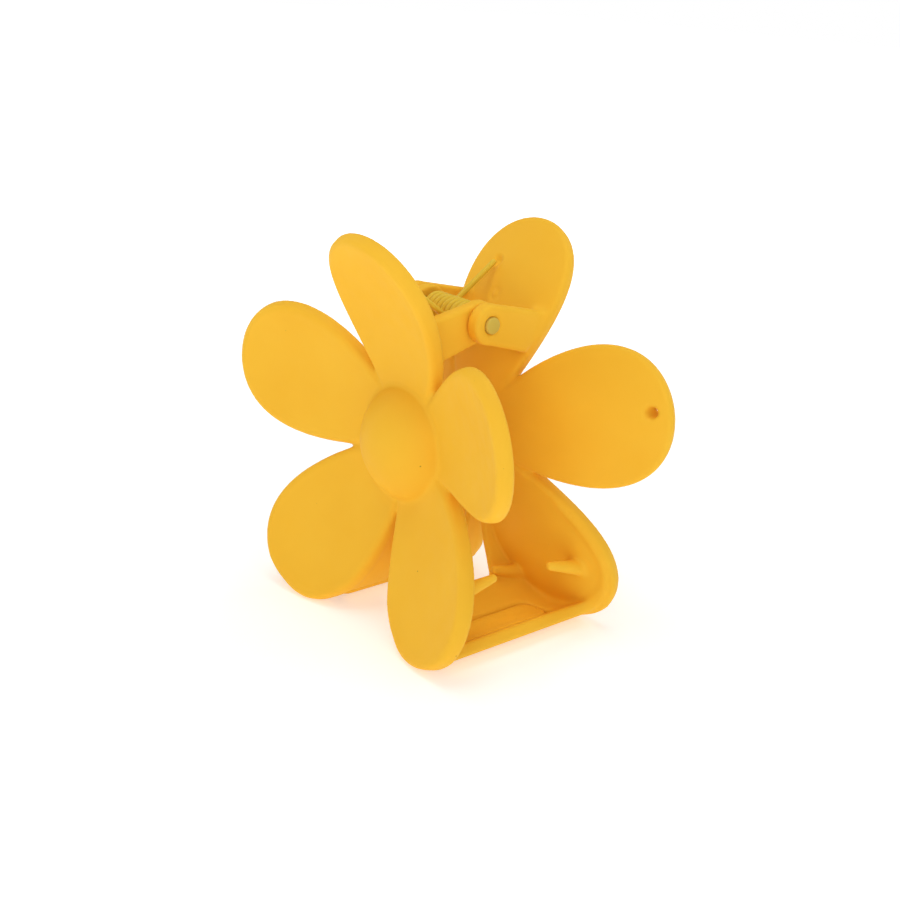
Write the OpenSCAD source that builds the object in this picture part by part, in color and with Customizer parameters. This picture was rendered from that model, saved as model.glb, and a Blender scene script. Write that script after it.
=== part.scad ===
// Flower hair clip: two five-petal jaws on a sprung hinge.
// The hinge runs along X, the front jaw is at -Y, and the closed clip stands on Z = 0.

/* [Petals] */
// Thickness of a petal
petal_t = 2.8; // [2.4:0.1:3.2]
// Length of the top petal, from the hub centre to its tip
top_len = 35.4; // [34:0.1:37]
// Half width of the top petal
top_half_w = 10.6; // [9.5:0.1:11.5]
// How far the tip of the top petal flares outwards
top_rise = 13.4; // [12:0.1:15]
// Length of a side petal
side_len = 36.1; // [34:0.1:38]
// Half width of a side petal
side_half_w = 11; // [10:0.1:12]
// How far the tip of a side petal flares outwards
side_rise = 11.3; // [9:0.1:13]
// Angle of a side petal above the horizontal
side_angle = 17.5; // [15:0.5:20]
// Length of a lower petal
low_len = 37.3; // [36:0.1:39]
// Half width of a lower petal
low_half_w = 10.8; // [10:0.1:11.5]
// How far the tip of a lower petal flares outwards
low_rise = 11.4; // [10:0.1:13]
// Angle of a lower petal below the horizontal
low_angle = 54; // [52:0.5:56]
// How much wider a petal is towards its tip
petal_taper = 0.41; // [0.3:0.01:0.55]
// How strongly a petal is cupped across its width, per millimetre
petal_cup = 0.01; // [0:0.001:0.02]

/* [Hub] */
// From the clip's middle plane to the middle of a petal's root
half_gap = 7.1; // [6.5:0.1:8]
// Radius of the dome where it leaves the petals
dome_r = 10; // [9:0.1:11]
// Height of the dome above the petals
dome_h = 6.2; // [5:0.1:7]
// Wall of the hollow dome
dome_wall = 2.4; // [2:0.1:3]

/* [Hinge] */
// Height of the hinge above the hub centre
hinge_rise = 21.2; // [20:0.1:22]
// Radius of the knuckle on each arm
knuckle_r = 3.4; // [3.3:0.05:4]
// Thickness of an outer arm, on the back jaw
outer_arm_t = 2.4; // [2:0.1:2.8]
// Thickness of an inner arm, on the front jaw
inner_arm_t = 2.25; // [2:0.05:2.5]
// Width across the outer arms
hinge_w = 20.4; // [19.8:0.1:21]
// Side gap between an outer and an inner arm
arm_gap = 0.2; // [0.1:0.05:0.3]
// Diameter of the hinge pin
pin_d = 2.4; // [2:0.1:3]
// Diameter of the pin's heads
pin_head_d = 2.8; // [2.7:0.1:3.4]
// Height of the pin's heads
pin_head_h = 0.45; // [0.3:0.05:0.6]
// Running clearance of the inner arms on the pin, on the radius
pin_clear = 0.05; // [0.02:0.01:0.1]

/* [Spring] */
// Diameter of the spring wire
wire_d = 1; // [0.8:0.05:1]
// Outside diameter of the coil
coil_d = 5.6; // [5.2:0.1:6]
// Whole turns in the coil
coil_turns = 8; // [6:1:8]
// Distance from one turn to the next
coil_pitch = 1.1; // [1.05:0.01:1.12]
// Slope of the spring's legs above the horizontal
leg_angle = 36; // [34:1:40]
// Length of a leg, from where it leaves the coil
leg_len = 14.1; // [12:0.1:14.2]

/* [Floor] */
// How far the floor lies inside the petals' outline
floor_inset = 0.9; // [0.7:0.1:1.2]
// Thickness of the floor and its fingers
floor_t = 2.2; // [2:0.1:2.6]
// Inner edge of the slot that a front finger fills
slot_x0 = 12.1; // [11:0.1:13]
// Outer edge of the slot that a front finger fills
slot_x1 = 18.2; // [17.8:0.1:18.6]
// From the clip's middle plane to the end of that slot
slot_y = 11.2; // [10:0.1:11.5]
// Gap round a finger in its slot
finger_gap = 0.25; // [0.2:0.05:0.4]
// Reach of the back jaw's inner fingers past the clip's middle plane
inner_reach = 12.9; // [12:0.1:13]
// Reach of its outer fingers
outer_reach = 15; // [13:0.1:15.2]
// Inner edge of the inner fingers, where the walls beside the gap between the lower petals start
wall_x = 7.1; // [6.8:0.1:7.4]
// Distance of the back jaw's walls from the clip's middle plane
back_wall_y = 7.9; // [7.5:0.1:9]
// Distance of the front jaw's walls from the clip's middle plane
front_wall_y = 6; // [5.5:0.1:8]

/* [Pegs] */
// Radius of a peg at its base
peg_r = 1.45; // [1.2:0.05:1.6]
// Radius of a peg at its tip
peg_tip_r = 0.75; // [0.6:0.05:1]
// Slope of the back jaw's pegs above the horizontal
back_peg_tilt = 16; // [14:1:20]
// Slope of the front jaw's pegs
front_peg_tilt = 7; // [4:1:12]

/* [Hanging hole] */
// Diameter of the hole near the tip of one side petal
hole_d = 2; // [1.6:0.1:2.4]
// From the hub centre to that hole
hole_at = 33.4; // [32:0.1:34]

/* [Hidden] */
$fn = 48;

root_u = 1.9;                        // where a petal's outline starts, out from the hub centre
steps = 18;                          // columns of facets in one petal
rings = [0.15, 0.35, 0.55, 0.75, 0.9];
sink = 1;                            // how far a joined shape reaches into its petal
outer_peg = [21.1, -20.4, 8.1];      // back jaw's outer peg: x, height from the hub, length
inner_peg = [7.4, -26.8, 6.9];       // its inner peg, which the front jaw can't have: a finger is there
front_peg = [21.1, -18.1, 7.4];      // front jaw's peg
wall_inset = 0.2;                    // how far a wall lies inside the petals' outline
wall_to = -62;                       // outline angle where the walls' inset starts to grow
inset_span = 20;                     // and the angle that it takes to reach the floor's inset
floor_from = -112;                   // outline angle where the walls meet between the petals
floor_to = 3;                        // outline angle of the floor's outer end
floor_step = 5;                      // angle between two points of the floor's section
foot = [-30, 45];                    // outline angle at the middle of the trimmed foot, and its reach
foot_trim = 0.6;                     // how much of the outline is trimmed off there
finger_round = 2.4;                  // corner radius at a finger's tip
far_x = 30;                          // past the outermost point of the floor

// A petal is [angle, length, half width, flare, power of the flare's curve, side of its trimmed foot].
RIGHT = [side_angle, side_len, side_half_w, side_rise, 1.9, 0];
TOP = [90, top_len, top_half_w, top_rise, 2.1, 0];
LEFT = [180 - side_angle, side_len, side_half_w, side_rise, 1.9, 0];
LOW_LEFT = [180 + low_angle, low_len, low_half_w, low_rise, 1.6, -1];
LOW_RIGHT = [360 - low_angle, low_len, low_half_w, low_rise, 1.6, 1];
PETALS = [RIGHT, TOP, LEFT, LOW_LEFT, LOW_RIGHT];

// Point of a petal's outline at angle t, drawn inwards by inset: [along, across].
function outline(p, t, inset) =
    let (mid = (p[1] + root_u) / 2, half = (p[1] - root_u) / 2 - inset)
    [mid + half * cos(t), (p[2] - inset) * sin(t) * (1 + petal_taper * cos(t))];

// How much a lower petal is trimmed at angle t, so that its foot lies nearly flush with the floor.
function trim(p, t) =
    let (away = (p[5] * t - foot[0]) / foot[1])
    p[5] == 0 || abs(away) > 1 ? 0 : foot_trim * min(1, 2 * (1 - abs(away)));

function trimmed(p, t, inset) = outline(p, t, inset + trim(p, t));

// The same point in the flower's plane: [x, height from the hub centre].
function in_plane(p, q) =
    [q[0] * cos(p[0]) - q[1] * sin(p[0]), q[0] * sin(p[0]) + q[1] * cos(p[0])];

// A point of the flower's plane back in a petal's own directions.
function in_petal(p, xz) =
    [xz[0] * cos(p[0]) + xz[1] * sin(p[0]), xz[1] * cos(p[0]) - xz[0] * sin(p[0])];

// How far the middle of a petal lies from the clip's middle plane.
function reach(p, q) =
    half_gap + p[3] * pow(max(q[0], 0) / p[1], p[4]) + petal_cup * q[1] * q[1];

// The lowest point of the lower petals sets the hub's height above the floor.
hub_z = -min([for (t = [-60:1:0]) in_plane(LOW_RIGHT, trimmed(LOW_RIGHT, t, 0))[1]]);
hinge_z = hub_z + hinge_rise;

// A point at distance w from the middle of the petal's thickness, outwards.
function petal_point(p, q, w) =
    let (slope_u = p[3] * p[4] / p[1] * pow(max(q[0], 0) / p[1], p[4] - 1),
         slope_v = 2 * petal_cup * q[1],
         n = [-slope_u, -slope_v, 1] / norm([slope_u, slope_v, 1]),
         xz = in_plane(p, [q[0] + w * n[0], q[1] + w * n[1]]))
    [xz[0], -(reach(p, q) + w * n[2]), hub_z + xz[1]];

// Angle of the outline seen from the hub centre, and the outline angle that gives it.
function seen(p, t) = let (q = outline(p, t, 0)) atan2(q[1], q[0]);
function valley(p, want, low, high, tries) =
    let (mid = (low + high) / 2)
    tries == 0 ? mid
    : seen(p, mid) < want ? valley(p, want, mid, high, tries - 1)
    : valley(p, want, low, mid, tries - 1);

// Half the angle between a petal and the one before it, and its outline angle there.
function half_turn(i) = let (a = PETALS[i][0] - PETALS[(i + 4) % 5][0]) (a < 0 ? a + 360 : a) / 2;
starts = [for (i = [0:4]) valley(PETALS[i], half_turn(i), 60, 140, 20)];
ends = [for (i = [0:4]) valley(PETALS[i], half_turn((i + 1) % 5), 60, 140, 20)];

// Rim of the flower in column j of petal i, drawn inwards by inset.
function rim(i, j, inset) =
    let (p = PETALS[i], t = -starts[i] + (starts[i] + ends[i]) * j / steps)
    j > 0 ? trimmed(p, t, inset)
    : let (q = outline(p, t, 0)) q * (1 - inset / norm(q));

function ring(scale, inset, w) =
    [for (i = [0:4]) for (j = [0:steps - 1]) petal_point(PETALS[i], rim(i, j, inset) * scale, w)];

// Five petals as one closed shell, with a rounded rim.
module flower() {
    half = petal_t / 2;
    outer = [for (s = rings) ring(s, half, half)];
    edge = [ring(1, half, half), ring(1, 0.3 * half, 0.7 * half), ring(1, 0, 0),
            ring(1, 0.3 * half, -0.7 * half), ring(1, half, -half)];
    inner = [for (k = [len(rings) - 1:-1:0]) ring(rings[k], half, -half)];
    rows = concat(outer, edge, inner);
    n = 5 * steps;
    count = len(rows);
    points = concat([[0, -half_gap - half, hub_z]], [for (row = rows) each row],
                    [[0, -half_gap + half, hub_z]]);
    last = count * n + 1;
    sides = [for (r = [0:count - 2]) for (j = [0:n - 1])
        let (a = 1 + r * n + j, b = 1 + r * n + (j + 1) % n)
        each [[a, b, b + n], [a, b + n, a + n]]];
    caps = [for (j = [0:n - 1])
        let (a = 1 + j, b = 1 + (j + 1) % n, c = last - n + j, d = last - n + (j + 1) % n)
        each [[0, b, a], [last, c, d]]];
    polyhedron(points, concat(sides, caps), convexity = 8);
}

dome_sphere_r = (dome_r * dome_r + dome_h * dome_h) / (2 * dome_h);
dome_y = -(half_gap + petal_t / 2 + dome_h - dome_sphere_r);

module dome() {
    intersection() {
        translate([0, dome_y, hub_z]) sphere(dome_sphere_r);
        translate([0, -half_gap, hub_z]) rotate([90, 0, 0]) cylinder(h = 2 * dome_h, r = dome_r);
    }
}

module dome_core() {
    translate([0, dome_y, hub_z]) sphere(dome_sphere_r - dome_wall);
}

// Cylinder along X.
module along_x(x0, x1, r) {
    translate([x0, 0, hinge_z]) rotate([0, 90, 0]) cylinder(h = x1 - x0, r = r);
}

// One hinge arm, from the knuckle to the middle of the top petal.
module arm(x0, thickness) {
    top = [-(reach(TOP, [hinge_rise + 0.5, x0]) - 0.2), hinge_z + 0.5];
    bottom = [-(reach(TOP, [hinge_rise - 6, x0]) - 0.2), hinge_z - 6];
    translate([x0, 0, 0]) rotate([90, 0, 90]) linear_extrude(thickness) {
        polygon([[0, hinge_z + knuckle_r], top, bottom, [0, hinge_z - knuckle_r]]);
        translate([0, hinge_z]) circle(knuckle_r);
    }
}

module arm_pair(x0, thickness) {
    arm(x0, thickness);
    mirror([1, 0, 0]) arm(x0, thickness);
}

// The floor moves in from the outline by wall_inset at the walls and floor_inset further out.
function inset_at(t) =
    wall_inset + (floor_inset - wall_inset) * min(max((t - wall_to) / inset_span, 0), 1);

// Section of the floor under the right lower petal, as points of [x, z].
function floor_curve(depth) =
    [for (t = [floor_from:floor_step:floor_to])
        in_plane(LOW_RIGHT, outline(LOW_RIGHT, t, inset_at(t) + depth)) + [0, hub_z]];

module floor_band() {
    back_way = floor_curve(floor_t);
    n = len(back_way);
    translate([0, far_x, 0]) rotate([90, 0, 0]) linear_extrude(2 * far_x)
        polygon(concat(floor_curve(0), [for (k = [n - 1:-1:0]) back_way[k]]));
}

// Plan of the floor between a petal and the line y = y0, as a polygon.
module floor_plan(y0) {
    roots = [for (t = [floor_from:floor_step:floor_to])
        let (q = outline(LOW_RIGHT, t, inset_at(t) + floor_t / 2))
        [in_plane(LOW_RIGHT, q)[0], reach(LOW_RIGHT, q)]];
    last = roots[len(roots) - 1];
    polygon(concat([[-5, y0], [-5, roots[0][1]]], roots, [[last[0] + 5, last[1]], [last[0] + 5, y0]]));
}

// The same plan, cut to the strip from x0 to x1.
module root_plan(x0, x1, y0) {
    intersection() {
        floor_plan(y0);
        translate([x0, 0]) square([x1 - x0, far_x]);
    }
}

// Plan of one finger with rounded corners at its tip, y = y1.
module finger_plan(x0, x1, y0, y1) {
    r = finger_round;
    s = y1 > y0 ? 1 : -1;
    translate([x0, min(y0, y1 - s * r)]) square([x1 - x0, abs(y1 - y0) - r]);
    translate([x0 + r, min(y0, y1)]) square([x1 - x0 - 2 * r, abs(y1 - y0)]);
    for (x = [x0 + r, x1 - r]) translate([x, y1 - s * r]) circle(r);
}

module back_floor_half() {
    intersection() {
        floor_band();
        linear_extrude(hub_z) union() {
            root_plan(0, wall_x + 1, back_wall_y);
            root_plan(wall_x, far_x, slot_y);
            finger_plan(wall_x, slot_x0, slot_y + 0.5, -inner_reach);
            finger_plan(slot_x1, far_x, slot_y + 0.5, -outer_reach);
        }
    }
}

module front_floor_half() {
    x0 = slot_x0 + finger_gap;
    x1 = slot_x1 - finger_gap;
    intersection() {
        floor_band();
        linear_extrude(hub_z) union() {
            finger_plan(x0, x1, -slot_y, slot_y - finger_gap);
            mirror([0, 1]) root_plan(x0, x1, slot_y - 1);
            mirror([0, 1]) root_plan(0, wall_x - finger_gap, front_wall_y);
        }
    }
}

// A peg stands on the inside of a petal and points at the other jaw.
module peg(at, tilt) {
    y = -(reach(LOW_RIGHT, in_petal(LOW_RIGHT, [at[0], at[1]])) - petal_t / 2 + sink);
    translate([at[0], y, hub_z + at[1] - sink * tan(tilt)]) rotate([-90 + tilt, 0, 0]) {
        cylinder(h = at[2] + sink - peg_tip_r, r1 = peg_r, r2 = peg_tip_r);
        translate([0, 0, at[2] + sink - peg_tip_r]) sphere(peg_tip_r);
    }
}

module both_sides() {
    children();
    mirror([1, 0, 0]) children();
}

// What the two jaws have in common, on the front side.
module blossom() {
    difference() {
        union() {
            flower();
            dome();
        }
        dome_core();
    }
}

module back_jaw() {
    inner = hinge_w / 2 - outer_arm_t;
    hole = in_plane(RIGHT, [hole_at, 0]);
    color("goldenrod") difference() {
        union() {
            mirror([0, 1, 0]) {
                blossom();
                both_sides() peg(outer_peg, back_peg_tilt);
                both_sides() peg(inner_peg, back_peg_tilt);
                arm_pair(inner, outer_arm_t);
            }
            both_sides() back_floor_half();
        }
        along_x(-hinge_w, hinge_w, pin_d / 2);
        translate([hole[0], 0, hub_z + hole[1]]) rotate([-90, 0, 0]) cylinder(h = 30, d = hole_d);
    }
}

module front_jaw() {
    outer = hinge_w / 2 - outer_arm_t - arm_gap;
    color("gold") difference() {
        union() {
            blossom();
            both_sides() peg(front_peg, front_peg_tilt);
            arm_pair(outer - inner_arm_t, inner_arm_t);
            both_sides() front_floor_half();
        }
        along_x(-hinge_w, hinge_w, pin_d / 2 + pin_clear);
    }
}

module hinge_pin() {
    half = hinge_w / 2;
    color("khaki") {
        along_x(-half - pin_head_h, half + pin_head_h, pin_d / 2);
        along_x(-half - pin_head_h, -half, pin_head_d / 2);
        along_x(half, half + pin_head_h, pin_head_d / 2);
    }
}

// The wire runs from the back leg, round the coil, to the front leg. A ring of the
// wire is [x, turn angle, distance out along the leg].
wire_sides = 8;
coil_mean_r = (coil_d - wire_d) / 2;
back_turn = leg_angle - 90;
front_turn = -90 - leg_angle - 360 * coil_turns;
coil_half = coil_pitch * (back_turn - front_turn) / 360 / 2;
coil_rings = 16 * coil_turns;
wire = concat(
    [[-coil_half, back_turn, leg_len]],
    [for (k = [0:coil_rings])
        [-coil_half + 2 * coil_half * k / coil_rings,
         back_turn + (front_turn - back_turn) * k / coil_rings, 0]],
    [[coil_half, front_turn, -leg_len]]);

function wire_point(w, k) =
    let (a = 360 * k / wire_sides,
         r = coil_mean_r + wire_d / 2 * cos(a),
         out = [cos(w[1]), sin(w[1])],
         along = [-sin(w[1]), cos(w[1])])
    [w[0] + wire_d / 2 * sin(a), r * out[0] + w[2] * along[0],
     hinge_z + r * out[1] + w[2] * along[1]];

module torsion_spring() {
    n = wire_sides;
    count = len(wire);
    points = [for (w = wire) for (k = [0:n - 1]) wire_point(w, k)];
    sides = [for (r = [0:count - 2]) for (k = [0:n - 1])
        let (a = r * n + k, b = r * n + (k + 1) % n)
        each [[a, b + n, b], [a, a + n, b + n]]];
    caps = [[for (k = [0:n - 1]) k], [for (k = [n - 1:-1:0]) (count - 1) * n + k]];
    color("darkkhaki") polyhedron(points, concat(sides, caps), convexity = 20);
}

back_jaw();
front_jaw();
hinge_pin();
torsion_spring();
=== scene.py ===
"""Looks of the flower hair clip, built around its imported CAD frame.

Each jaw is one moulding. Its surface is described as a signed distance on a fine grid, in millimetres,
and then meshed. On that grid, out is the distance from the clip's middle plane towards the jaw's own
side, and up is the height above the hub centre.
"""
import math

import bpy
import numpy as np
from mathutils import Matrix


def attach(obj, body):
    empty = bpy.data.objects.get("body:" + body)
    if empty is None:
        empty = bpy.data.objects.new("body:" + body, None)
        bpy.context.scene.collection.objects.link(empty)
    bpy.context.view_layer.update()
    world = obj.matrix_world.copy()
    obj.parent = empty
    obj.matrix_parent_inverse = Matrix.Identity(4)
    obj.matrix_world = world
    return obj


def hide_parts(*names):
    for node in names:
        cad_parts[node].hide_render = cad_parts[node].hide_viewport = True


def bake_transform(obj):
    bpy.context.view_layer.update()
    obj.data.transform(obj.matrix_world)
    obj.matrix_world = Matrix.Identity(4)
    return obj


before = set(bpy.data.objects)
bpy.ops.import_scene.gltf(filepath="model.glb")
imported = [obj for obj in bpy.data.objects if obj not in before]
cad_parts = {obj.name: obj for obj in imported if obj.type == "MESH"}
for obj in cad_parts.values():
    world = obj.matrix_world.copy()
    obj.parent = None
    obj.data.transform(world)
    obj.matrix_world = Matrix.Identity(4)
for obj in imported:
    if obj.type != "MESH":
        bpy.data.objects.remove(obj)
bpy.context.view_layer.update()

import openvdb
from mathutils import Matrix, Vector

MM = 0.001

# Grid of a jaw
VOXEL = 0.375           # spacing
REACH = 3.0             # how far from a surface the distance is kept, in voxels
PAD = 1.5               # space round the jaw, out and up
GRID_X = 36.6           # half of the grid's width
GRID_OUT = 21.6         # where it ends outwards, without the pad
GRID_UP = 36.0          # where it ends at the top, without the pad
FRONT_GRID_IN = -10.1   # where the front jaw's grid starts, without the pad
BACK_GRID_IN = -15.4    # where the back jaw's does
FAR_OUT = 24.0          # beyond any part of a jaw
FAR_X = 32.0            # beyond the floor

# Petals
PETAL_T = 2.8
HALF_T = PETAL_T / 2
ROOT_U = 1.9            # where an outline starts, out from the hub centre
TAPER = 0.41            # how much wider a petal is towards its tip
CUP = 0.01              # how strongly it is cupped across its width
HALF_GAP = 7.1          # from the clip's middle plane to the middle of a petal's root
SIDE_ANGLE = 17.5
LOW_ANGLE = 54.0
# length, half width, flare, power of the flare's curve
SIDE = (36.1, 11.0, 11.3, 1.9)
TOP = (35.4, 10.6, 13.4, 2.1)
LOW = (37.3, 10.8, 11.4, 1.6)
# angle, shape, side of the trimmed foot
PETALS = (
    (SIDE_ANGLE, SIDE, 0),
    (90.0, TOP, 0),
    (180.0 - SIDE_ANGLE, SIDE, 0),
    (180.0 + LOW_ANGLE, LOW, -1),
    (360.0 - LOW_ANGLE, LOW, 1),
)
OUTLINE_POINTS = 120
RIM_OUT = 1.05          # rounding of a petal's rim on its outer face
RIM_IN = 0.9            # and on its inner face
VALLEY = 0.9            # softness of the notch between two petals

# The lower petals are trimmed at the bottom, so that they end flush with the floor
FOOT_MIDDLE = -30.0     # outline angle
FOOT_REACH = 45.0
FOOT_TRIM = 0.6

# Hub
DOME_R = 10.3
DOME_H = 6.7
DOME_WALL = 2.4
DOME_SOFT = 0.6         # fillet round the dome
DOME_SINK = 0.3         # how far the dome reaches past the middle of the petals
DOME_BRIM = 0.5         # rounding of the hollow's edge
DOME_UP = -0.3          # from the hub centre

# Hinge
HINGE_UP = 21.2
KNUCKLE_R = 3.4
HINGE_W = 20.4
OUTER_ARM_T = 2.4
INNER_ARM_T = 2.25
ARM_GAP = 0.2
ARM_ROUND = 0.45        # rounding of an arm's outer edges
ARM_ROUND_IN = 0.3      # and of its inner edges
ARM_FILLET = 1.0        # where it meets the petals
ARM_FAR = 18.0          # beyond the petals
# Where an arm's upper and lower edges pass, as (out, up)
FRONT_ARM = ((10.06, 22.5), (7.94, 15.4))
BACK_ARM = ((11.75, 22.15), (7.8, 15.65))
PIN_R = 1.2
PIN_CLEAR = 0.05        # play of the front jaw on the pin
PIN_HEAD_R = 1.4
PIN_HEAD_H = 0.45
PIN_SEAT_GAP = 0.06     # round a head in its seat
PIN_SEAT_DEPTH = 0.5

# Spring
WIRE_R = 0.5
COIL_R = 2.3
COIL_TURNS = 8
COIL_PITCH = 1.1
LEG_ANGLE = 36.0
LEG_LEN = 14.1
LEG_STEPS = 12
TURN_STEPS = 40         # points in one turn
WIRE_SIDES = 14
GROOVE_X = 4.6          # of the back leg, from the middle to the left
GROOVE_R = 1.1
GROOVE_PAST = 0.8       # how far the groove runs past the leg's end
GROOVE_LEN = 3.0        # and back along the leg
GROOVE_SOFT = 0.3

# Floor
FLOOR_INSET = 0.7
FLOOR_T = 2.2
WALL_THINNER = 0.7      # how much thinner the walls beside the gap are
LIP_THINNER = 1.5       # and the lip in which the floor runs out along the back petal's edge
SLOT_IN = 12.1
SLOT_OUT = 18.2
SLOT_END = 11.2
FINGER_GAP = 0.25
INNER_REACH = 12.9
OUTER_REACH = 15.0
FINGER_ROUND = 2.4
WALL_X = 7.1            # the fingers start here, and the walls beside the gap end
BACK_WALL = 7.9
FRONT_WALL = 6.0
WALL_INSET = 0.1
FRONT_FILLET = 2.0      # between the front jaw's floor and its petals
# Outline angles, in degrees
WALL_TO = -62           # where the walls' inset starts to grow
THIN_TO = -58           # where the thinner wall ends
WALL_SPAN = 20          # what either change takes
LIP_SPAN = 45           # the lip thins out from 0 to here
FLOOR_END = 3.0         # the floor's outer end
END_SOFT = 5.0          # how gently that end runs out into the lip
FLOOR_ROUND = 0.5       # rounding of the floor's edges

# Pegs: x, height over the hub centre, length, slope
OUTER_PEG = (21.1, -20.4, 8.1, 16.0)
INNER_PEG = (7.4, -26.1, 6.9, 16.0)
FRONT_PEG = (21.1, -18.1, 7.4, 7.0)
PEG_R = 1.45            # at the base
PEG_TIP_R = 0.75
PEG_SINK = 1.0          # how far a peg starts inside its petal
PEG_FILLET = 0.7

# Round mark that the mould's ejector left on the back jaw's top petal
EJECTOR_AT = (-1.7, 22.8)
EJECTOR_R = 0.9
EJECTOR_LINE = 0.2      # half the width of its ring, and its depth
EJECTOR_SOFT = 0.15

# Hanging hole in the back jaw's right side petal, narrower outwards
HOLE_AT = 33.4          # from the hub centre
HOLE_R = 0.8            # in the middle of the petal
HOLE_TAPER = 0.17
HOLE_SOFT = 0.3

# Paint
NOISE_LOW = 0.3         # the range in which a noise texture mostly stays
NOISE_HIGH = 0.7
DRIFT_SCALE = 90
GRAIN_SCALE = 2600
WAVE_SCALE = 300
ROUGH_SCALE = 400
ROUGH_RANGE = 0.06
SPECK_SCALE = 170
SPECK_SHADE = 0.35
PAINT_GLOSS = 0.12

# Lamps: azimuth, elevation, distance, size, power
LAMPS = {
    "key": (40, 25, 0.9, 0.5, 1.4),
    "fill": (-20, 35, 0.9, 0.6, 0.8),
    "top": (0, 85, 0.9, 0.7, 3.0),
    "left": (-80, 30, 0.9, 0.6, 0.9),
    "right": (85, 40, 0.8, 0.5, 0.7),
    "back_right": (130, 35, 0.9, 0.5, 0.5),
    "behind": (185, 35, 0.9, 0.6, 1.3),
}
WORLD_LIGHT = 0.22      # what the pale surroundings add
WORLD_SEEN = 1.0        # how bright they look themselves

# Camera
CAMERA_AT = (0.1656, -0.14231, 0.07431)     # from the hub centre's height
CAMERA_TURN = (46.683, 18.081, 3.989)       # azimuth, elevation, roll
CAMERA_LENS = 54.11
CAMERA_SHIFT = (-0.0613, -0.0333)


def smooth_min(a, b, k):
    """Union of two distances with a fillet of about k."""
    h = np.clip(0.5 + 0.5 * (b - a) / k, 0, 1)
    return b + (a - b) * h - k * h * (1 - h)


def smooth_max(a, b, k):
    """Intersection of two distances with a rounding of about k."""
    return -smooth_min(-a, -b, k)


def corner(a, b, r):
    """Intersection of two distances whose common edge is an arc of radius r."""
    p = a + r
    q = b + r
    return np.minimum(np.maximum(p, q), 0) + np.hypot(np.maximum(p, 0), np.maximum(q, 0)) - r


def polygon_distance(x, y, points):
    """Signed distance of every (x, y) from a closed polygon, negative inside."""
    best = np.full(np.broadcast(x, y).shape, 1e9)
    inside = np.zeros(best.shape, bool)
    for (ax, ay), (bx, by) in zip(points, np.roll(points, -1, axis=0)):
        ex, ey = bx - ax, by - ay
        px, py = x - ax, y - ay
        s = np.clip((px * ex + py * ey) / (ex * ex + ey * ey), 0, 1)
        best = np.minimum(best, (px - s * ex) ** 2 + (py - s * ey) ** 2)
        crosses = (ay > y) != (by > y)
        inside ^= crosses & (px < ex * py / (ey if ey else 1e-9))
    return np.where(inside, -1, 1) * np.sqrt(best)


def outline(shape, angles, inset=0.0):
    """Points of a petal's outline, drawn inwards by inset: along its axis and across it."""
    length, half_w, _, _ = shape
    u = (length + ROOT_U) / 2 + ((length - ROOT_U) / 2 - inset) * np.cos(angles)
    v = (half_w - inset) * np.sin(angles) * (1 + TAPER * np.cos(angles))
    return np.stack([u, v], axis=-1)


def trimmed(shape, angles, side):
    """The same outline with its foot trimmed. side is 1 for the right lower petal, -1 for the left."""
    away = np.abs(side * np.degrees(angles) - FOOT_MIDDLE) / FOOT_REACH
    return outline(shape, angles, FOOT_TRIM * np.clip(2 * (1 - away), 0, 1))


def whole_turn():
    """The angles at which an outline is drawn."""
    return np.linspace(-math.pi, math.pi, OUTLINE_POINTS, endpoint=False)


def flare(shape, u, v):
    """Distance of the middle of a petal from the clip's middle plane."""
    length, _, rise, power = shape
    return HALF_GAP + rise * (np.maximum(u, 0) / length) ** power + CUP * v * v


def turned(x, up, angle):
    """A point of the flower's plane in the directions of a petal at that angle."""
    c, s = math.cos(math.radians(angle)), math.sin(math.radians(angle))
    return x * c + up * s, up * c - x * s


def in_plane(points, angle):
    """Points of a petal's outline as x and height, in the flower's plane."""
    c, s = math.cos(math.radians(angle)), math.sin(math.radians(angle))
    return points[:, 0] * c - points[:, 1] * s, points[:, 0] * s + points[:, 1] * c


def lowest_point():
    """Height of the lowest point of a lower petal's outline, from the hub centre."""
    points = trimmed(LOW, np.radians(np.arange(-60, 1)), 1)
    return float(np.min(in_plane(points, -LOW_ANGLE)[1]))


def layer(values):
    """A map over x and up, as one layer of the grid."""
    return values.astype(np.float32)[:, None, :]


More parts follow.
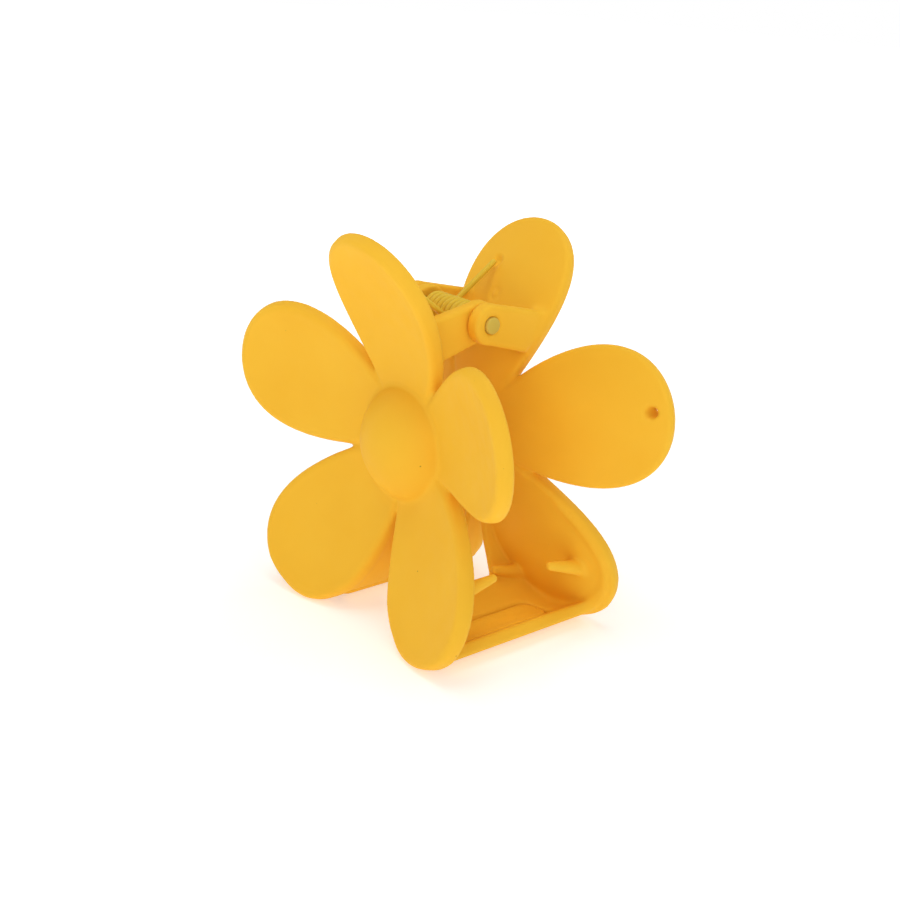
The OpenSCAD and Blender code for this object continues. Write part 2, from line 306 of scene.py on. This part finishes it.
class Field:
    """The grid of one jaw, and the distances that all of its parts share."""

    def __init__(self, out_low):
        self.x0, self.o0, self.u0 = -GRID_X, out_low - PAD, lowest_point() - PAD
        nx = int(round(-2 * self.x0 / VOXEL)) + 1
        no = int((GRID_OUT + PAD - self.o0) / VOXEL) + 1
        nu = int((GRID_UP + PAD - self.u0) / VOXEL) + 1
        self.x = (self.x0 + VOXEL * np.arange(nx, dtype=np.float32))[:, None, None]
        self.out = (self.o0 + VOXEL * np.arange(no, dtype=np.float32))[None, :, None]
        self.up = (self.u0 + VOXEL * np.arange(nu, dtype=np.float32))[None, None, :]
        self.side = np.abs(self.x)
        self.petals()
        self.floor()

    def petals(self):
        """Distances from the flower's outline, from its middle surface and from its rim."""
        x, up = self.x[:, 0, :], self.up[:, 0, :]
        edges, mids = [], []
        for angle, shape, side in PETALS:
            u, v = turned(x, up, angle)
            points = trimmed(shape, whole_turn(), side) if side else outline(shape, whole_turn())
            edges.append(polygon_distance(u, v, points))
            mids.append(flare(shape, u, v))
        weights = [np.exp(-np.clip(e, -20, 20)) for e in edges]
        mid = sum(w * m for w, m in zip(weights, mids)) / sum(weights)
        edge = np.hypot(x, up) - DOME_R
        for e in edges:
            edge = smooth_min(edge, e, VALLEY)
        gx, gu = np.gradient(mid, VOXEL)
        ex, eu = np.gradient(edge, VOXEL)
        steep = np.sqrt(1 + gx * gx + gu * gu)
        along = gx * ex + gu * eu
        lean = layer(along / steep)
        stretch = layer(np.sqrt(1 + along * along))
        self.edge = layer(edge)
        self.above = (self.out - layer(mid)) / layer(steep)
        self.rim = stretch * (self.edge + HALF_T + np.clip(self.above, -2, 3) * lean) - HALF_T

    def floor(self):
        """Distance from a lower petal's outline, and the floor's inset and thickness along it."""
        u, v = turned(self.side[:, 0, :], self.up[:, 0, :], -LOW_ANGLE)
        self.low_edge = layer(polygon_distance(u, v, outline(LOW, whole_turn())))
        length, half_w = LOW[:2]
        c = (u - (length + ROOT_U) / 2) / ((length - ROOT_U) / 2)
        turn = np.degrees(np.arctan2(v / (half_w * (1 + TAPER * np.clip(c, -1.2, 1.4))), c))
        past_wall = np.clip((turn - WALL_TO) / WALL_SPAN, 0, 1)
        on_wall = np.clip((THIN_TO - turn) / WALL_SPAN, 0, 1)
        on_lip = np.clip(turn / LIP_SPAN, 0, 1)
        self.inset = layer(WALL_INSET + (FLOOR_INSET - WALL_INSET) * past_wall)
        self.floor_t = layer(FLOOR_T - (WALL_THINNER * on_wall + LIP_THINNER * on_lip))


def petal_plate(f):
    """The five petals as one sheet with a rounded rim."""
    outer = corner(f.rim, f.above - HALF_T, RIM_OUT)
    inner = corner(f.rim, -f.above - HALF_T, RIM_IN)
    return np.maximum(outer, inner)


def add_dome(f, jaw):
    """The hollow dome in the middle of the flower."""
    ball_r = (DOME_R ** 2 + DOME_H ** 2) / (2 * DOME_H)
    centre = HALF_GAP + HALF_T + DOME_H - ball_r
    from_centre = np.sqrt(f.x ** 2 + (f.out - centre) ** 2 + (f.up - DOME_UP) ** 2)
    dome = np.maximum(from_centre - ball_r, -f.above - DOME_SINK)
    jaw = smooth_min(jaw, dome, DOME_SOFT)
    return smooth_max(jaw, ball_r - DOME_WALL - from_centre, DOME_BRIM)


def joined(f, jaw, part, k):
    """A part that grows out of a petal's inner face, with a fillet there and none outside."""
    return np.minimum(jaw, np.maximum(smooth_min(jaw, part, k), f.above))


def arm_profile(f, top, bottom):
    """Side view of an arm: a knuckle round the hinge, and two straight edges to the petals."""
    high, low = HINGE_UP + KNUCKLE_R, HINGE_UP - KNUCKLE_R
    slope_top = (top[1] - high) / top[0]
    slope_low = (bottom[1] - low) / bottom[0]
    points = np.array([
        (0, high),
        (0, low),
        (ARM_FAR, low + slope_low * ARM_FAR),
        (ARM_FAR, high + slope_top * ARM_FAR),
    ])
    edges = polygon_distance(f.out[0], f.up[0], points).astype(np.float32)[None]
    return np.minimum(edges, np.hypot(f.out, f.up - HINGE_UP) - KNUCKLE_R)


def add_arms(f, jaw, x_in, x_out, edges):
    """A pair of hinge arms, between x_in and x_out on each side."""
    profile = arm_profile(f, *edges)
    arm = np.maximum(
        corner(profile, f.side - x_out, ARM_ROUND),
        corner(profile, x_in - f.side, ARM_ROUND_IN),
    )
    # An arm ends just inside the petals' outline, and may pass it further in
    past_edge = f.edge + 0.3 - 0.6 * np.maximum(-f.above - HALF_T, 0)
    arm = np.maximum(arm, past_edge)
    return joined(f, jaw, np.maximum(arm, f.above), ARM_FILLET)


def strip(f, x_low, x_high, out_low, out_high):
    """Plan of one finger of the floor, with rounded corners."""
    across = np.abs(f.side - (x_low + x_high) / 2) - (x_high - x_low) / 2
    along = np.abs(f.out - (out_low + out_high) / 2) - (out_high - out_low) / 2
    return corner(across, along, FINGER_ROUND)


def past_floor_end(f):
    """Distance past the line on which the floor ends, square to the lower petal's outline."""
    (x, x_on), (up, up_on) = in_plane(outline(LOW, np.radians([FLOOR_END, FLOOR_END + 1])), -LOW_ANGLE)
    dx, du = x_on - x, up_on - up
    return ((f.side - x) * dx + (f.up - up) * du) / math.hypot(dx, du)


def add_floor(f, jaw, plan, soft):
    """The floor and the walls beside the gap follow the outline of the lower petals, just inside it."""
    band = np.abs(f.low_edge + f.inset + f.floor_t / 2) - f.floor_t / 2
    cut = smooth_min(past_floor_end(f), -f.above - HALF_T, END_SOFT)
    band = corner(band, cut, FLOOR_ROUND)
    floor = np.maximum(corner(band, plan, FLOOR_ROUND), f.above)
    filled = np.maximum(smooth_min(jaw, floor, soft), f.edge + f.inset)
    return np.minimum(jaw, np.minimum(floor, np.maximum(filled, f.above)))


def add_peg(f, jaw, peg):
    """A pair of pegs that lean up towards the other jaw."""
    x, up, length, slope = peg
    tilt = math.radians(slope)
    u, v = turned(x, up, -LOW_ANGLE)
    base = flare(LOW, u, v) - HALF_T + PEG_SINK
    dx, do, du = f.side - x, f.out - base, f.up - up + PEG_SINK * math.tan(tilt)
    total = length + PEG_SINK - PEG_TIP_R
    s = np.clip((du * math.sin(tilt) - do * math.cos(tilt)) / total, 0, 1)
    away = np.sqrt(dx ** 2 + (do + s * total * math.cos(tilt)) ** 2
                   + (du - s * total * math.sin(tilt)) ** 2)
    return smooth_min(jaw, away - (PEG_R - (PEG_R - PEG_TIP_R) * s), PEG_FILLET)


def add_leg_groove(f, jaw):
    """A shallow groove in the top petal's inner face, where the end of the spring's leg rests."""
    lean = math.radians(LEG_ANGLE)
    out_end = COIL_R * math.sin(lean) + LEG_LEN * math.cos(lean)
    up_end = HINGE_UP - COIL_R * math.cos(lean) + LEG_LEN * math.sin(lean)
    back = (out_end - f.out) * math.cos(lean) + (up_end - f.up) * math.sin(lean)
    back = np.clip(back, -GROOVE_PAST, GROOVE_LEN)
    away = np.sqrt((f.x + GROOVE_X) ** 2 + (f.out - out_end + back * math.cos(lean)) ** 2
                   + (f.up - up_end + back * math.sin(lean)) ** 2)
    return smooth_max(jaw, GROOVE_R - away, GROOVE_SOFT)


def add_ejector_ring(f, jaw):
    """The fine ring of the mould's ejector, in the top petal's inner face."""
    from_middle = np.hypot(f.x - EJECTOR_AT[0], f.up - EJECTOR_AT[1])
    ring = np.abs(from_middle - EJECTOR_R) - EJECTOR_LINE
    depth = np.abs(f.above + HALF_T) - EJECTOR_LINE
    return smooth_max(jaw, -np.maximum(ring, depth), EJECTOR_SOFT)


def cut_bore(f, jaw, radius):
    """The bore round the hinge's axis."""
    return np.maximum(jaw, radius - np.hypot(f.out, f.up - HINGE_UP))


def cut_head_seat(f, jaw, x_out):
    """The seat of the pin's head, in the outer face of an arm."""
    from_pin = np.hypot(f.out, f.up - HINGE_UP)
    seat = corner(from_pin - (PIN_HEAD_R + PIN_SEAT_GAP), x_out - PIN_SEAT_DEPTH - f.side, 0.1)
    return np.maximum(jaw, -seat)


def cut_hanging_hole(f, jaw):
    """The small hole near the tip of the right side petal."""
    a = math.radians(SIDE_ANGLE)
    from_middle = np.hypot(f.x - HOLE_AT * math.cos(a), f.up - HOLE_AT * math.sin(a))
    hole = from_middle - HOLE_R + HOLE_TAPER * np.clip(f.above, -2, 2)
    return smooth_max(jaw, -hole, HOLE_SOFT)


def smooth_object(name, verts, faces):
    """A linked object with a smooth closed mesh whose normals point outwards. In metres."""
    mesh = bpy.data.meshes.new(name)
    mesh.from_pydata(verts, [], faces)
    mesh.validate()
    if signed_volume(mesh) < 0:
        mesh.flip_normals()
    mesh.polygons.foreach_set("use_smooth", [True] * len(mesh.polygons))
    obj = bpy.data.objects.new(name, mesh)
    bpy.context.scene.collection.objects.link(obj)
    return obj


def signed_volume(mesh):
    """Volume of a closed mesh, negative if its normals point inwards."""
    mesh.calc_loop_triangles()
    co = np.zeros(len(mesh.vertices) * 3)
    mesh.vertices.foreach_get("co", co)
    co = co.reshape(-1, 3)
    tri = np.zeros(len(mesh.loop_triangles) * 3, int)
    mesh.loop_triangles.foreach_get("vertices", tri)
    a, b, c = (co[tri.reshape(-1, 3)[:, i]] for i in range(3))
    return float(np.einsum("ij,ij->i", a, np.cross(b, c)).sum() / 6)


def mesh_jaw(name, f, jaw, flip):
    """The surface of the distance field as a closed quad mesh. flip puts it on the front side."""
    grid = openvdb.FloatGrid(background=REACH)
    grid.copyFromArray(np.clip(jaw / VOXEL, -REACH, REACH).astype(np.float32))
    points, quads = grid.convertToQuads(isovalue=0.0)
    points = points.astype(np.float64) * VOXEL + np.array([f.x0, f.o0, f.u0])
    if flip:
        points[:, 1] *= -1
        quads = quads[:, ::-1]
    points[:, 2] += hub_z
    return smooth_object(name, (points * MM).tolist(), quads.tolist())


def front_jaw():
    f = Field(FRONT_GRID_IN)
    jaw = add_dome(f, petal_plate(f))
    x_out = HINGE_W / 2 - OUTER_ARM_T - ARM_GAP
    jaw = add_arms(f, jaw, x_out - INNER_ARM_T, x_out, FRONT_ARM)
    plan = strip(f, SLOT_IN + FINGER_GAP, SLOT_OUT - FINGER_GAP, FINGER_GAP - SLOT_END, FAR_OUT)
    wall = np.maximum(FRONT_WALL - f.out, f.side - (WALL_X - FINGER_GAP))
    jaw = add_floor(f, jaw, np.minimum(plan, wall), FRONT_FILLET)
    jaw = add_peg(f, jaw, FRONT_PEG)
    jaw = cut_bore(f, jaw, PIN_R + PIN_CLEAR)
    return mesh_jaw("front_moulding", f, jaw, True)


def back_jaw():
    f = Field(BACK_GRID_IN)
    jaw = add_dome(f, petal_plate(f))
    x_out = HINGE_W / 2
    jaw = add_arms(f, jaw, x_out - OUTER_ARM_T, x_out, BACK_ARM)
    wall = np.maximum(BACK_WALL - f.out, f.side - WALL_X - 1)
    root = np.maximum(SLOT_END - f.out, WALL_X - f.side)
    inner_finger = strip(f, WALL_X, SLOT_IN, -INNER_REACH, FAR_OUT)
    outer_finger = strip(f, SLOT_OUT, FAR_X, -OUTER_REACH, FAR_OUT)
    plan = smooth_min(np.minimum(wall, root), inner_finger, 4.0)
    plan = smooth_min(plan, outer_finger, 1.0)
    # The fillet is tight at the walls and wider at the outer fingers
    jaw = add_floor(f, jaw, plan, np.clip(0.6 + (f.side - 9) / 8, 0.6, 1.2))
    jaw = add_peg(f, add_peg(f, jaw, OUTER_PEG), INNER_PEG)
    jaw = add_ejector_ring(f, add_leg_groove(f, jaw))
    jaw = cut_head_seat(f, cut_bore(f, jaw, PIN_R), x_out)
    jaw = cut_hanging_hole(f, jaw)
    return mesh_jaw("back_moulding", f, jaw, False)


def bridged(rows):
    """Faces between rows of equally many points. A row that repeats one point makes triangles."""
    faces = []
    for a, b in zip(rows, rows[1:]):
        for k in range(len(a)):
            n = (k + 1) % len(a)
            loop = [a[k], a[n], b[n], b[k]]
            faces.append([v for j, v in enumerate(loop) if v != loop[j - 1]])
    return faces


def tube(name, path, radius, sides):
    """A closed round tube along a path of points, with domed ends. All in metres."""
    path = np.array(path)
    tangent = np.gradient(path, axis=0)
    tangent /= np.linalg.norm(tangent, axis=1)[:, None]
    normal = np.cross(tangent[0], (0.3, 0.9, 0.1))
    # In radii: distance back from the end of the path, and radius of the ring there
    dome = ((-1, 0.0), (-0.8, 0.6), (-0.4, 0.917))
    stations = [(0, shift, scale) for shift, scale in dome]
    stations += [(i, 0.0, 1.0) for i in range(len(path))]
    stations += [(len(path) - 1, -shift, scale) for shift, scale in reversed(dome)]
    verts, rows = [], []
    for i, shift, scale in stations:
        normal = normal - tangent[i] * (normal @ tangent[i])
        normal /= np.linalg.norm(normal)
        side = np.cross(tangent[i], normal)
        centre = path[i] + tangent[i] * radius * shift
        if scale == 0:
            rows.append([len(verts)] * sides)
            verts.append(tuple(centre))
            continue
        rows.append(list(range(len(verts), len(verts) + sides)))
        for k in range(sides):
            angle = 2 * math.pi * k / sides
            spoke = normal * math.cos(angle) + side * math.sin(angle)
            verts.append(tuple(centre + radius * scale * spoke))
    return smooth_object(name, verts, bridged(rows))


def spring():
    """The torsion spring: back leg, coil, front leg."""
    start = LEG_ANGLE - 90
    end = -90 - LEG_ANGLE - 360 * COIL_TURNS
    half = COIL_PITCH * (start - end) / 360 / 2
    rise = hub_z + HINGE_UP

    def point(x, turn, along):
        c, s = math.cos(math.radians(turn)), math.sin(math.radians(turn))
        return Vector((x, COIL_R * c - along * s, rise + COIL_R * s + along * c)) * MM

    path = [point(-half, start, LEG_LEN * (1 - k / LEG_STEPS)) for k in range(LEG_STEPS)]
    count = TURN_STEPS * COIL_TURNS
    for k in range(count + 1):
        s = k / count
        path.append(point(half * (2 * s - 1), start + (end - start) * s, 0))
    path += [point(half, end, -LEG_LEN * (k + 1) / LEG_STEPS) for k in range(LEG_STEPS)]
    return tube("spring_wire", path, WIRE_R * MM, WIRE_SIDES)


def lathe_x(name, profile, segments=64):
    """A closed solid turned about the hinge axis. profile is (x, radius) from one tip to the other."""
    rise = hub_z + HINGE_UP
    verts, rows = [], []
    for x, r in profile:
        if r == 0:
            rows.append([len(verts)] * segments)
            verts.append((x * MM, 0, rise * MM))
            continue
        rows.append(list(range(len(verts), len(verts) + segments)))
        for k in range(segments):
            a = 2 * math.pi * k / segments
            verts.append((x * MM, r * math.cos(a) * MM, (rise + r * math.sin(a)) * MM))
    return smooth_object(name, verts, bridged(rows))


def pin():
    """The hinge pin, with a low domed head at each end."""
    tip = HINGE_W / 2 + PIN_HEAD_H
    under = tip - 0.85
    half = [
        (tip, 0.0),
        (tip - 0.01, 0.5),
        (tip - 0.04, 1.0),
        (tip - 0.1, 1.24),
        (tip - 0.2, 1.35),
        (tip - 0.32, PIN_HEAD_R),
        (under + 0.05, PIN_HEAD_R),
        (under, PIN_HEAD_R - 0.05),
        (under, PIN_R + 0.05),
        (under - 0.05, PIN_R),
    ]
    return lathe_x("pin_shaft", [(-x, r) for x, r in half] + half[::-1])


def nodes_of(name):
    """A new material, its node tree and its shader."""
    material = bpy.data.materials.new(name)
    material.use_nodes = True
    tree = material.node_tree
    return material, tree, tree.nodes["Principled BSDF"]


def noise(tree, coords, scale, detail=2.0, rough=0.5):
    """A noise texture's value."""
    node = tree.nodes.new("ShaderNodeTexNoise")
    node.inputs["Scale"].default_value = scale
    node.inputs["Detail"].default_value = detail
    node.inputs["Roughness"].default_value = rough
    tree.links.new(coords, node.inputs["Vector"])
    return node.outputs["Fac"]


def spread(tree, value, low, high, out_low, out_high):
    """A value mapped from low..high to out_low..out_high, and held at its ends."""
    node = tree.nodes.new("ShaderNodeMapRange")
    node.inputs["From Min"].default_value = low
    node.inputs["From Max"].default_value = high
    node.inputs["To Min"].default_value = out_low
    node.inputs["To Max"].default_value = out_high
    tree.links.new(value, node.inputs["Value"])
    return node.outputs["Result"]


def mixed(tree, factor, a, b):
    """Two colours mixed by a factor. Each is a socket or a plain colour."""
    node = tree.nodes.new("ShaderNodeMix")
    node.data_type = "RGBA"
    tree.links.new(factor, node.inputs["Factor"])
    for value, socket in ((a, node.inputs[6]), (b, node.inputs[7])):
        if isinstance(value, tuple):
            socket.default_value = value + (1.0,)
        else:
            tree.links.new(value, socket)
    return node.outputs[2]


def bump(tree, height, distance, strength, after=None):
    """A bump from a height, on top of another bump if there is one."""
    node = tree.nodes.new("ShaderNodeBump")
    node.inputs["Distance"].default_value = distance
    node.inputs["Strength"].default_value = strength
    tree.links.new(height, node.inputs["Height"])
    if after is not None:
        tree.links.new(after, node.inputs["Normal"])
    return node.outputs["Normal"]


def painted(name, deep, main, edge, roughness):
    """Sprayed matte paint: fine grain, faint colour drift, few dust specks, a lighter colour on sharp
    convex edges.
    """
    material, tree, shader = nodes_of(name)
    coords = tree.nodes.new("ShaderNodeTexCoord").outputs["Object"]
    drift = spread(tree, noise(tree, coords, DRIFT_SCALE, 3), NOISE_LOW, NOISE_HIGH, 0.0, 1.0)
    colour = mixed(tree, drift, deep, main)
    geometry = tree.nodes.new("ShaderNodeNewGeometry")
    # A lighter colour on sharp convex edges, where the mesh's pointiness is high
    edge_mix = spread(tree, geometry.outputs["Pointiness"], 0.52, 0.6, 0.0, 0.5)
    colour = mixed(tree, edge_mix, colour, edge)
    cells = tree.nodes.new("ShaderNodeTexVoronoi")
    cells.inputs["Scale"].default_value = SPECK_SCALE
    tree.links.new(coords, cells.inputs["Vector"])
    speck = spread(tree, cells.outputs["Distance"], 0.018, 0.03, 0.7, 0.0)
    colour = mixed(tree, speck, colour, tuple(SPECK_SHADE * c for c in deep))
    tree.links.new(colour, shader.inputs["Base Color"])
    rough = spread(tree, noise(tree, coords, ROUGH_SCALE, 3), NOISE_LOW, NOISE_HIGH,
                   roughness - ROUGH_RANGE, roughness + ROUGH_RANGE)
    tree.links.new(rough, shader.inputs["Roughness"])
    shader.inputs["Specular IOR Level"].default_value = PAINT_GLOSS
    waves = bump(tree, noise(tree, coords, WAVE_SCALE, 2), 0.00003, 0.5)
    grain = bump(tree, noise(tree, coords, GRAIN_SCALE, 2, 0.6), 0.00002, 0.5, waves)
    tree.links.new(grain, shader.inputs["Normal"])
    return material


def floor_material():
    """A pale matte floor that glows more and more away from the clip, so that it ends in white."""
    material, tree, shader = nodes_of("pale_floor")
    coords = tree.nodes.new("ShaderNodeTexCoord").outputs["Object"]
    tone = spread(tree, noise(tree, coords, 8, 3), NOISE_LOW, NOISE_HIGH, 0.0, 1.0)
    colour = mixed(tree, tone, (0.84, 0.84, 0.84), (0.86, 0.86, 0.86))
    tree.links.new(colour, shader.inputs["Base Color"])
    shader.inputs["Roughness"].default_value = 0.9
    length = tree.nodes.new("ShaderNodeVectorMath")
    length.operation = "LENGTH"
    tree.links.new(coords, length.inputs[0])
    glow = spread(tree, length.outputs["Value"], 0.12, 0.5, 0.38, 0.95)
    tree.links.new(glow, shader.inputs["Emission Strength"])
    shader.inputs["Emission Color"].default_value = (1, 1, 1, 1)
    return material


def stage_floor():
    size = 3.0
    mesh = bpy.data.meshes.new("stage_floor")
    mesh.from_pydata([(-size, -size, 0), (size, -size, 0), (size, size, 0), (-size, size, 0)],
                     [], [(0, 1, 2, 3)])
    obj = bpy.data.objects.new("stage_floor", mesh)
    bpy.context.scene.collection.objects.link(obj)
    obj.data.materials.append(floor_material())


def backwards(azimuth, elevation):
    """Direction from the clip to a viewer or lamp. Azimuth 0 is in front and 90 at its right."""
    a, e = math.radians(azimuth), math.radians(elevation)
    return Vector((math.sin(a) * math.cos(e), -math.cos(a) * math.cos(e), math.sin(e)))


def area_light(name, azimuth, elevation, distance, size, power):
    """A soft round panel that faces the clip."""
    data = bpy.data.lights.new(name, "AREA")
    data.shape = "DISK"
    data.size = size
    data.energy = power
    obj = bpy.data.objects.new(name, data)
    bpy.context.scene.collection.objects.link(obj)
    back = backwards(azimuth, elevation)
    obj.location = Vector((0, 0, hub_z * MM)) + back * distance
    obj.rotation_mode = "QUATERNION"
    obj.rotation_quaternion = (-back).to_track_quat("-Z", "Y")


def lights():
    world = bpy.data.worlds.new("studio")
    world.use_nodes = True
    tree = world.node_tree
    background = tree.nodes["Background"]
    background.inputs["Color"].default_value = (1, 1, 1, 1)
    seen = tree.nodes.new("ShaderNodeLightPath").outputs["Is Camera Ray"]
    strength = spread(tree, seen, 0, 1, WORLD_LIGHT, WORLD_SEEN)
    tree.links.new(strength, background.inputs["Strength"])
    bpy.context.scene.world = world
    for name, values in LAMPS.items():
        area_light(name, *values)


def camera():
    azimuth, elevation, roll = CAMERA_TURN
    back = backwards(azimuth, elevation)
    level = backwards(azimuth + 90, 0)
    lifted = back.cross(level)
    c, s = math.cos(math.radians(roll)), math.sin(math.radians(roll))
    right = c * level + s * lifted
    up = c * lifted - s * level
    data = bpy.data.cameras.new("camera")
    data.lens = CAMERA_LENS
    data.sensor_width = 36.0
    data.shift_x, data.shift_y = CAMERA_SHIFT
    data.clip_start = 0.01
    data.clip_end = 20.0
    obj = bpy.data.objects.new("camera", data)
    bpy.context.scene.collection.objects.link(obj)
    spin = Matrix((right, up, back)).transposed().to_4x4()
    x, y, z = CAMERA_AT
    obj.matrix_world = Matrix.Translation((x, y, z + hub_z * MM)) @ spin
    bpy.context.scene.camera = obj


hub_z = -lowest_point()     # the closed clip stands on its lower petals
plastic = painted("yellow_paint", (0.935, 0.51, 0.032), (0.955, 0.54, 0.038), (0.965, 0.57, 0.045), 0.6)
pin_paint = painted("pin_paint", (0.64, 0.46, 0.07), (0.72, 0.52, 0.085), (0.78, 0.6, 0.14), 0.4)
wire_paint = painted("wire_paint", (0.72, 0.48, 0.03), (0.82, 0.56, 0.045), (0.86, 0.6, 0.08), 0.4)

front = front_jaw()
back = back_jaw()
for piece, body, node in ((front, "front", "front_jaw"), (back, "back", "back_jaw")):
    piece.data.materials.append(plastic)
    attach(piece, body)
    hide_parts(node)

shaft = pin()
shaft.data.materials.append(pin_paint)
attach(shaft, "back")
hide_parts("hinge_pin")

wire = spring()
wire.data.materials.append(wire_paint)
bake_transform(wire)
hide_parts("torsion_spring")

stage_floor()
lights()
camera()
bpy.context.scene.view_settings.view_transform = "Standard"
